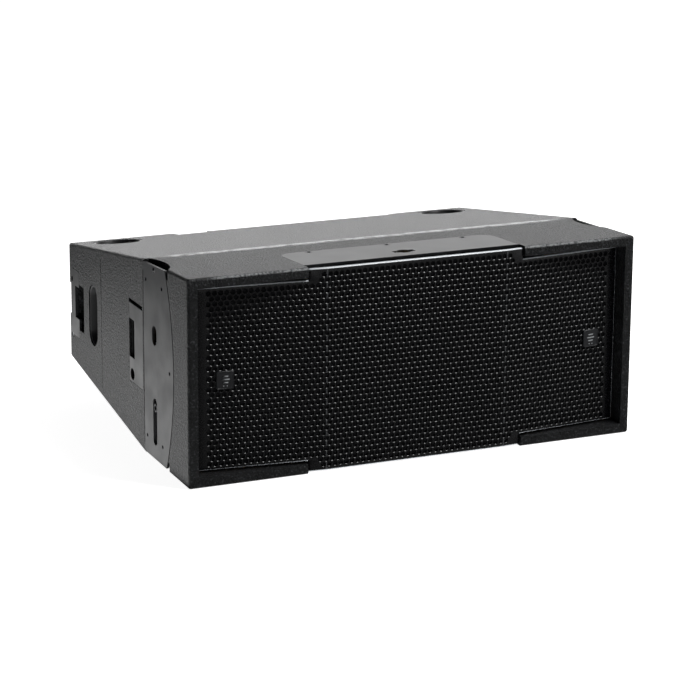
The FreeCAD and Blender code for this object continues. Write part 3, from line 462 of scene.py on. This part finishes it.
def ring(count, radius, level, lobes=0, depth=0.0):
    """Points round a circle at a height; with lobes, its radius swells and pinches."""
    return [Vector((radius * (1 + depth * math.cos(lobes * turn)) * math.cos(turn),
                    radius * (1 + depth * math.cos(lobes * turn)) * math.sin(turn), level))
            for turn in (k * math.tau / count for k in range(count))]


def rounded_rectangle(width, height, corner, level, steps=4):
    """Points round a rectangle with round corners."""
    points = []
    for quarter, (sx, sy) in enumerate(((1, 1), (-1, 1), (-1, -1), (1, -1))):
        for step in range(steps + 1):
            turn = (quarter + step / steps) * math.pi / 2
            points.append(Vector((sx * (width / 2 - corner) + corner * math.cos(turn),
                                  sy * (height / 2 - corner) + corner * math.sin(turn), level)))
    return points


def loft(bm, rings, place):
    """Joins rings of equal count with quads, moved to their place, and caps both ends."""
    made = [[bm.verts.new(place @ point) for point in points] for points in rings]
    for near, far in zip(made, made[1:]):
        for k in range(len(near)):
            bm.faces.new((near[k - 1], near[k], far[k], far[k - 1]))
    bm.faces.new(made[0])
    bm.faces.new(made[-1])


def turned(bm, place, profile, count=64):
    """A turned part from (radius, height) pairs in mm, capped at both ends."""
    loft(bm, [ring(count, radius * MM, height * MM) for radius, height in profile], place)


def screw_head(bm, place, radius, height):
    """A flat-topped pan head with a rounded shoulder and a six-lobed drive."""
    count = 36
    drive = radius * 0.5
    rings = [ring(count, radius, -2 * MM), ring(count, radius, height * 0.35)]
    for step in range(1, 5):
        turn = step / 4 * math.pi / 2
        rings.append(ring(count, radius - height * 0.65 * (1 - math.cos(turn)),
                          height * (0.35 + 0.65 * math.sin(turn))))
    rings += [ring(count, drive * 1.16, height), ring(count, drive, height - 0.15 * MM, 6, 0.14),
              ring(count, drive, height - 1.4 * MM, 6, 0.14),
              ring(count, drive * 0.3, height - 1.7 * MM)]
    loft(bm, rings, place)


# ---------------------------------------------------------------- grille and foam

def fold_sheet(u, depth):
    """The X and Y of a point that far along the flat sheet and that far behind its face."""
    side = 1 if u >= 0 else -1
    along = abs(u) - FOLD
    if along <= -HALF_FOLD:
        angle, x, y = 0, abs(u), 0
    elif along >= HALF_FOLD:
        angle, x, y = WING_ANGLE, FOLD + along * math.cos(WING_ANGLE), along * math.sin(WING_ANGLE)
    else:
        angle = (along + HALF_FOLD) / FOLD_RADIUS
        x = FOLD - HALF_FOLD + FOLD_RADIUS * math.sin(angle)
        y = FOLD_RADIUS * (1 - math.cos(angle))
    return side * (x - depth * math.sin(angle)), FACE_Y + y + depth * math.cos(angle)


def sheet_outline(inset, steps=4):
    """The sheet's outline, a wide cross with small round corners, set in by that much."""
    wing, tab = SHEET_END - inset, TAB - inset
    top = HALF_HEIGHT - inset
    shoulder = top - NOTCH
    quarter = [(wing, 0), (wing, shoulder), (tab, shoulder), (tab, top), (0, top)]
    points = []
    for quadrant, (sx, sz) in enumerate(((1, 1), (-1, 1), (-1, -1), (1, -1))):
        run = quarter if quadrant % 2 == 0 else quarter[::-1]
        points += [(sx * x, sz * z) for x, z in run[1:-1]]
    rounded = []
    for i, here in enumerate(points):
        here = Vector(here)
        before = (Vector(points[i - 1]) - here).normalized()
        after = (Vector(points[(i + 1) % len(points)]) - here).normalized()
        radius = CORNER - inset if before.cross(after) < 0 else CORNER / 2 + inset
        centre = here + (before + after) * radius
        start, end = -after, -before
        for step in range(steps + 1):
            turn = step / steps
            spoke = (start * math.cos(turn * math.pi / 2) + end * math.sin(turn * math.pi / 2))
            rounded.append(tuple(centre + spoke * radius))
    return rounded


def hole_centres():
    """Staggered rows of holes, as far as the solid border lets them go."""
    rows = int((HALF_HEIGHT - TOP_BORDER) / ROW_RISE)
    centres = []
    for row in range(-rows, rows + 1):
        z = row * ROW_RISE
        beside_tab = abs(z) > HALF_HEIGHT - NOTCH - TOP_BORDER + 1 * MM
        reach = (TAB if beside_tab else SHEET_END) - SIDE_BORDER
        shift = 0 if row % 2 else PITCH / 2
        columns = int(reach / PITCH) + 1
        centres += [(column * PITCH + shift, z) for column in range(-columns, columns + 1)
                    if abs(column * PITCH + shift) <= reach]
    return centres


def perforated_sheet():
    """The flat sheet without its lips, as a bmesh in X and Z, with a rounded mouth to each
    hole. Faces whose corners all belong to one hole are the discs that were punched out."""
    centres = hole_centres()
    outlines = [sheet_outline(LIP_RADIUS)]
    mouth = HOLE_RADIUS + HOLE_ROLL
    turns = [k * math.tau / HOLE_SIDES for k in range(HOLE_SIDES)]
    for u, z in centres:
        outlines.append([(u + mouth * math.cos(turn), z + mouth * math.sin(turn))
                         for turn in turns])
    points, edges, owners = [], [], []
    for number, outline in enumerate(outlines):
        first = len(points)
        points += [Vector(point) for point in outline]
        edges += [(first + i, first + (i + 1) % len(outline)) for i in range(len(outline))]
        owners += [number] * len(outline)
    inside_edges = 1
    flat_points, _, faces, origins, *_ = delaunay_2d_cdt(points, edges, [], inside_edges, 1e-7)
    bm = bmesh.new()
    made = [bm.verts.new((point.x, 0, point.y)) for point in flat_points]
    for face in faces:
        around = {owners[origins[i][0]] for i in face}
        if len(around) > 1 or 0 in around:
            bm.faces.new([made[i] for i in face])
    spot = {before: now for now, befores in enumerate(origins) for before in befores}
    shrink = HOLE_RADIUS / mouth
    for number, (u, z) in enumerate(centres):
        first = len(outlines[0]) + number * HOLE_SIDES
        outer = [made[spot[first + k]] for k in range(HOLE_SIDES)]
        inner = [bm.verts.new((u + (v.co.x - u) * shrink, HOLE_ROLL, z + (v.co.z - z) * shrink))
                 for v in outer]
        for k in range(HOLE_SIDES):
            bm.faces.new((outer[k - 1], outer[k], inner[k], inner[k - 1]))
    return bm


def turn_lips(bm, steps=4):
    """Grows the flat sheet's edge outwards and round into a lip that points backwards."""
    source = sheet_outline(LIP_RADIUS)
    rim = {v for v in bm.verts if v.is_boundary
           and min((Vector((v.co.x, v.co.z)) - Vector(p)).length for p in source) < 1e-5}
    rim_edges = [e for e in bm.edges if e.is_boundary and all(v in rim for v in e.verts)]
    for step in range(1, steps + 2):
        grown = bmesh.ops.extrude_edge_only(bm, edges=rim_edges)["geom"]
        rim_edges = [g for g in grown if isinstance(g, bmesh.types.BMEdge) and g.is_boundary]
        turn = min(step, steps) / steps * math.pi / 2
        depth = LIP_RADIUS * (1 - math.cos(turn)) if step <= steps else LIP_DEPTH
        target = sheet_outline(LIP_RADIUS * (1 - math.sin(turn)))
        for v in {v for e in rim_edges for v in e.verts}:
            nearest = min(range(len(source)), key=lambda i: (source[i][0] - v.co.x) ** 2
                          + (source[i][1] - v.co.z) ** 2)
            v.co = (target[nearest][0], depth, target[nearest][1])
        source = target


def make_grille():
    """The perforated sheet: folded in two lines, with its edges turned back as lips."""
    bm = perforated_sheet()
    turn_lips(bm)
    for line in (FOLD - HALF_FOLD, FOLD, FOLD + HALF_FOLD):
        for side in (-1, 1):
            bmesh.ops.bisect_plane(bm, geom=bm.verts[:] + bm.edges[:] + bm.faces[:],
                                   plane_co=(side * line, 0, 0), plane_no=(1, 0, 0))
    for v in bm.verts:
        x, y = fold_sheet(v.co.x, v.co.y)
        v.co = (x, y, v.co.z + CENTRE_HEIGHT)
    sheet = make_piece("perforated_grille", bm, "grille_steel", "cabinet", "grille", sharp=40)
    wall = sheet.modifiers.new("gauge", "SOLIDIFY")
    wall.thickness, wall.offset = GAUGE, -1


def make_foam():
    """The acoustic foam behind the grille: one soft slab that follows the folds, cut a little
    wavy at its edges and dimpled where it is stuck down."""
    columns, rows = 120, 44
    bm = bmesh.new()
    layers = []
    for depth in (0, FOAM_THICK):
        grid = []
        for row in range(rows + 1):
            line = []
            for column in range(columns + 1):
                u = (column / columns * 2 - 1) * (SHEET_END - 3 * MM)
                half = HALF_HEIGHT - 3 * MM - (0 if abs(u) < TAB - 4 * MM else NOTCH)
                z = CENTRE_HEIGHT + half * (row / rows * 2 - 1)
                swell = math.sin(u * 61) * math.sin(z * 83) * 0.25 * MM
                edge = min(column, columns - column, row, rows - row)
                crown = 1.2 * MM if edge == 0 else 0.35 * MM if edge == 1 else 0
                front = GAUGE + 1.2 * MM + swell + crown
                x, y = fold_sheet(u, front if depth == 0 else GAUGE + FOAM_THICK - crown)
                line.append(bm.verts.new((x, y, z)))
            grid.append(line)
        layers.append(grid)
    for layer in layers:
        for row in range(rows):
            for column in range(columns):
                bm.faces.new((layer[row][column], layer[row][column + 1],
                              layer[row + 1][column + 1], layer[row + 1][column]))
    near, far = layers
    border = ([(0, c) for c in range(columns)] + [(r, columns) for r in range(rows)]
              + [(rows, c) for c in range(columns, 0, -1)] + [(r, 0) for r in range(rows, 0, -1)])
    for here, there in zip(border, border[1:] + border[:1]):
        bm.faces.new((near[here[0]][here[1]], near[there[0]][there[1]],
                      far[there[0]][there[1]], far[here[0]][here[1]]))
    slab = make_piece("acoustic_foam", bm, "foam", "cabinet", "grille_foam", sharp=80)


# ---------------------------------------------------------------- fittings

def make_screws():
    """The screws that show: along the crease, in the top plate and in the rigging plates."""
    bm = bmesh.new()
    for low, high in loose_parts("panel_screws"):
        middle = (low + high) / 2
        top = Vector((middle.x, middle.y, high.z - 0.3 * MM))
        screw_head(bm, facing(top - FRONT_NORMAL * 0.9 * MM, FRONT_NORMAL),
                   (high.x - low.x) / 2, 1.0 * MM)
    make_piece("panel_screw_heads", bm, "black_screw", "cabinet", "panel_screws")
    bm = bmesh.new()
    for low, high in loose_parts("rigging_screws"):
        side = 1 if low.x > 0 else -1
        middle = (low + high) / 2
        outer = high.x if side > 0 else low.x
        seat = Vector((outer - side * 1.0 * MM, middle.y, middle.z))
        screw_head(bm, facing(seat, (side, 0, 0)), (high.z - low.z) / 2, 1.0 * MM)
    make_piece("rigging_screw_heads", bm, "black_screw", "cabinet", "rigging_screws")


def make_badges():
    """Small plates with a raised rim, a plain three-bar mark and two pins."""
    for side_name, side in SIDES.items():
        low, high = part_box(side_name + "_badge")
        normal = Vector((side * math.sin(WING_ANGLE), -math.cos(WING_ANGLE), 0))
        centre = (low + high) / 2
        width = (high.x - low.x) - 0.4 * MM
        height = high.z - low.z
        axis_x = Vector((math.cos(WING_ANGLE), side * math.sin(WING_ANGLE), 0))
        turn = Matrix((axis_x, Vector((0, 0, 1)), normal)).transposed().to_4x4()
        place = Matrix.Translation(centre) @ turn
        bm = bmesh.new()
        corner, rim = 2.5 * MM, 1.1 * MM
        rings = [rounded_rectangle(width, height, corner, -1 * MM),
                 rounded_rectangle(width, height, corner, 0.7 * MM),
                 rounded_rectangle(width - 0.5 * MM, height - 0.5 * MM, corner, 1 * MM),
                 rounded_rectangle(width - rim * 2, height - rim * 2, corner - rim / 2, 1 * MM),
                 rounded_rectangle(width - rim * 2.4, height - rim * 2.4, corner - rim / 2,
                                   0.65 * MM)]
        loft(bm, rings, place)
        silver = len(bm.faces)
        for bar, length in enumerate((9 * MM, 13 * MM, 9 * MM)):
            middle = Matrix.Translation((0, (1 - bar) * 4.6 * MM + 1 * MM, 0))
            loft(bm, [rounded_rectangle(length, 2.4 * MM, 1.15 * MM, 0.6 * MM),
                      rounded_rectangle(length, 2.4 * MM, 1.15 * MM, 0.85 * MM),
                      rounded_rectangle(length - 0.3 * MM, 2.1 * MM, 1.0 * MM, 0.95 * MM)],
                 place @ middle)
        for pin in (-1, 1):
            loft(bm, [ring(20, 0.9 * MM, 0.6 * MM), ring(20, 0.9 * MM, 0.9 * MM),
                      ring(20, 0.4 * MM, 1.0 * MM)],
                 place @ Matrix.Translation((pin * 2.6 * MM, -8.6 * MM, 0)))
        bm.faces.ensure_lookup_table()
        for face in bm.faces[silver:]:
            face.material_index = 1
        make_piece(side_name + "_badge_plate", bm, "badge", "cabinet", side_name + "_badge",
                   extra=("chrome",))


def make_link_knobs():
    """Round steel buttons on the links, with a knurled skirt and a hollow centre."""
    for side_name, side in SIDES.items():
        low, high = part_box(side_name + "_link_knob")
        radius = (high.z - low.z) / 2
        outer = high.x if side > 0 else low.x
        length = high.x - low.x
        centre = Vector((outer - side * length, (low.y + high.y) / 2, (low.z + high.z) / 2))
        count = 96
        rings = [ring(count, radius * 0.94, 0, 32, 0.025),
                 ring(count, radius * 0.94, length - 0.9 * MM, 32, 0.025),
                 ring(count, radius * 0.90, length - 0.3 * MM), ring(count, radius * 0.82, length),
                 ring(count, radius * 0.62, length), ring(count, radius * 0.55, length - 0.5 * MM),
                 ring(count, radius * 0.5, length - 1.8 * MM)]
        bm = bmesh.new()
        loft(bm, rings, facing(centre, (side, 0, 0)))
        make_piece(side_name + "_link_button", bm, "black_screw", side_name + "_link",
                   side_name + "_link_knob")


def make_handle_cups():
    """Deep hand pockets with a rolled rim, drafted walls and a coved floor."""
    for side_name, side in SIDES.items():
        low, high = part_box(side_name + "_handle_cup")
        middle = (low + high) / 2
        mouth = high.x if side > 0 else low.x
        wide, tall, deep = (high.y - low.y) / MM, (high.z - low.z) / MM, (high.x - low.x) / MM
        bm = bmesh.new()
        rings = []
        for inset, level in ((0, -deep), (0, -0.9), (0.3, -0.25), (0.9, 0), (1.7, -0.3),
                             (2.4, -1.6), (3.4, 7 - deep), (4.3, 4.2 - deep), (6.5, 2.6 - deep),
                             (9.5, 2 - deep)):
            rings.append(rounded_rectangle((wide - 2 * inset) * MM, (tall - 2 * inset) * MM,
                                           (wide / 2 - inset - 0.05) * MM, level * MM, steps=9))
        loft(bm, rings, facing((mouth, middle.y, middle.z), (side, 0, 0)))
        make_piece(side_name + "_hand_pocket", bm, "black_plastic", "cabinet",
                   side_name + "_handle_cup", sharp=50)


def make_stacking_cups():
    """Dishes in the rear top that take the feet of a cabinet stacked above."""
    bm = bmesh.new()
    for low, high in loose_parts("stacking_cups"):
        r = (high.x - low.x) / 2 / MM
        turned(bm, facing((low + high) / 2, REAR_NORMAL),
               [(r, -7), (r, 6.2), (r - 0.3, 6.8), (r - 1, 7), (r - 2.9, 7), (r - 3.7, 6.6),
                (r - 4, 5.8), (r - 4.6, -2.2), (r - 5.4, -3.6), (r - 7, -4), (r - 12, -4),
                (r - 12.5, -3.3), (r - 14, -3.3), (r - 14.5, -4), (4, -4), (3.2, -5), (1, -5)])
    make_piece("stacking_dishes", bm, "black_plastic", "cabinet", "stacking_cups", sharp=50)


def make_feet():
    """Rubber feet with a rounded shoulder, a groove and a sunken middle."""
    bm = bmesh.new()
    under = Vector((0, REAR_NORMAL.y, -REAR_NORMAL.z))
    r = FOOT_RADIUS / MM
    for low, high in loose_parts("rubber_feet"):
        turned(bm, facing((low + high) / 2, under),
               [(r, -4), (r, 2.2), (r - 0.6, 3.3), (r - 2, 4), (r - 8, 4), (r - 8.8, 2.8),
                (r - 11.2, 2.8), (r - 12, 4), (8, 4), (6.5, 3.2), (6, 1), (1, 1)])
    make_piece("foot_pads", bm, "rubber", "cabinet", "rubber_feet", sharp=50)


def make_sensor_socket():
    """The bayonet socket under the top plate's key hole, with two lugs and a sunken floor."""
    low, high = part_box("angle_sensor_socket")
    r, half = (high.x - low.x) / 2 / MM, 4.6
    bm = bmesh.new()
    place = facing((low + high) / 2, FRONT_NORMAL)
    turned(bm, place, [(r, -half), (r, half - 0.7), (r - 0.7, half), (r - 2, half),
                       (r - 2.6, half - 0.6), (r - 4.6, half - 1.4), (r - 5, half - 2),
                       (r - 5, -half + 2.8), (r - 5.6, -half + 2.3), (3.4, -half + 2.3),
                       (3, -half + 3.6), (1, -half + 3.8)])
    for side in (-1, 1):
        lug = place @ Matrix.Translation((side * (r - 6) * MM, 0, (half - 3.4) * MM))
        loft(bm, [rounded_rectangle(4 * MM, 5 * MM, 0.8 * MM, level * MM)
                  for level in (-1.2, 1.2)], lug)
    make_piece("bayonet_socket", bm, "yellow_plastic", "cabinet", "angle_sensor_socket", sharp=45)


def make_sockets():
    """Two loudspeaker sockets: a flange, a round mouth with a post, and four screws."""
    bm = bmesh.new()
    screws = []
    for low, high in loose_parts("sockets"):
        face = Vector(((low.x + high.x) / 2, high.y - 3 * MM, (low.z + high.z) / 2))
        place = facing(face, (0, 1, 0))
        wide, tall = high.x - low.x, high.z - low.z
        rings = [ring(36, 12 * MM, -24 * MM), ring(36, 12 * MM, 0)]
        rings += [rounded_rectangle(wide - 2 * trim, tall - 2 * trim, 3 * MM - trim, level * MM,
                                    steps=8)
                  for trim, level in ((0, 0), (0, 2.5), (0.5 * MM, 3))]
        rings += [ring(36, radius * MM, level * MM) for radius, level in (
            (12.3, 3), (12.3, 3.6), (11.7, 4.1), (10.2, 4.1), (9.5, 3.4), (9.5, -20))]
        loft(bm, rings, place)
        turned(bm, place, [(5.2, -20), (5.2, 1.4), (4.6, 2), (2.6, 2), (2.2, 1.4), (2.2, -12)], 32)
        screws += [place @ Matrix.Translation((x * 10.2 * MM, z * 12.7 * MM, 2.6 * MM))
                   for x in (-1, 1) for z in (-1, 1)]
    plastic = len(bm.faces)
    for place in screws:
        screw_head(bm, place, 2.1 * MM, 0.9 * MM)
    bm.faces.ensure_lookup_table()
    for face in bm.faces[plastic:]:
        face.material_index = 1
    make_piece("loudspeaker_sockets", bm, "black_plastic", "cabinet", "sockets",
               extra=("black_screw",))


def soften_edges(*names):
    """Breaks the sharp edges of sheet-metal and bar parts, so that they catch the light."""
    for name in names:
        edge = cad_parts[name].modifiers.new("broken_edge", "BEVEL")
        edge.width, edge.segments = 0.45 * MM, 2
        edge.limit_method, edge.angle_limit = "ANGLE", math.radians(50)


make_grille()
make_foam()
make_handle_cups()
make_stacking_cups()
make_feet()
make_sensor_socket()
make_sockets()
soften_edges("top_plate", "connector_plate",
             *[f"{side}_{part}" for side in SIDES
               for part in ("rigging_plate", "latch_flap", "rear_plate", "front_link",
                            "rear_link", "lock_bolt")])
make_screws()
make_badges()
make_link_knobs()

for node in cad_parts.values():
    for slot in node.material_slots:
        slot.material = FINISHES[slot.material.name.split(".")[0]]
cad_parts["top_plate"].material_slots[0].material = top_plate_finish
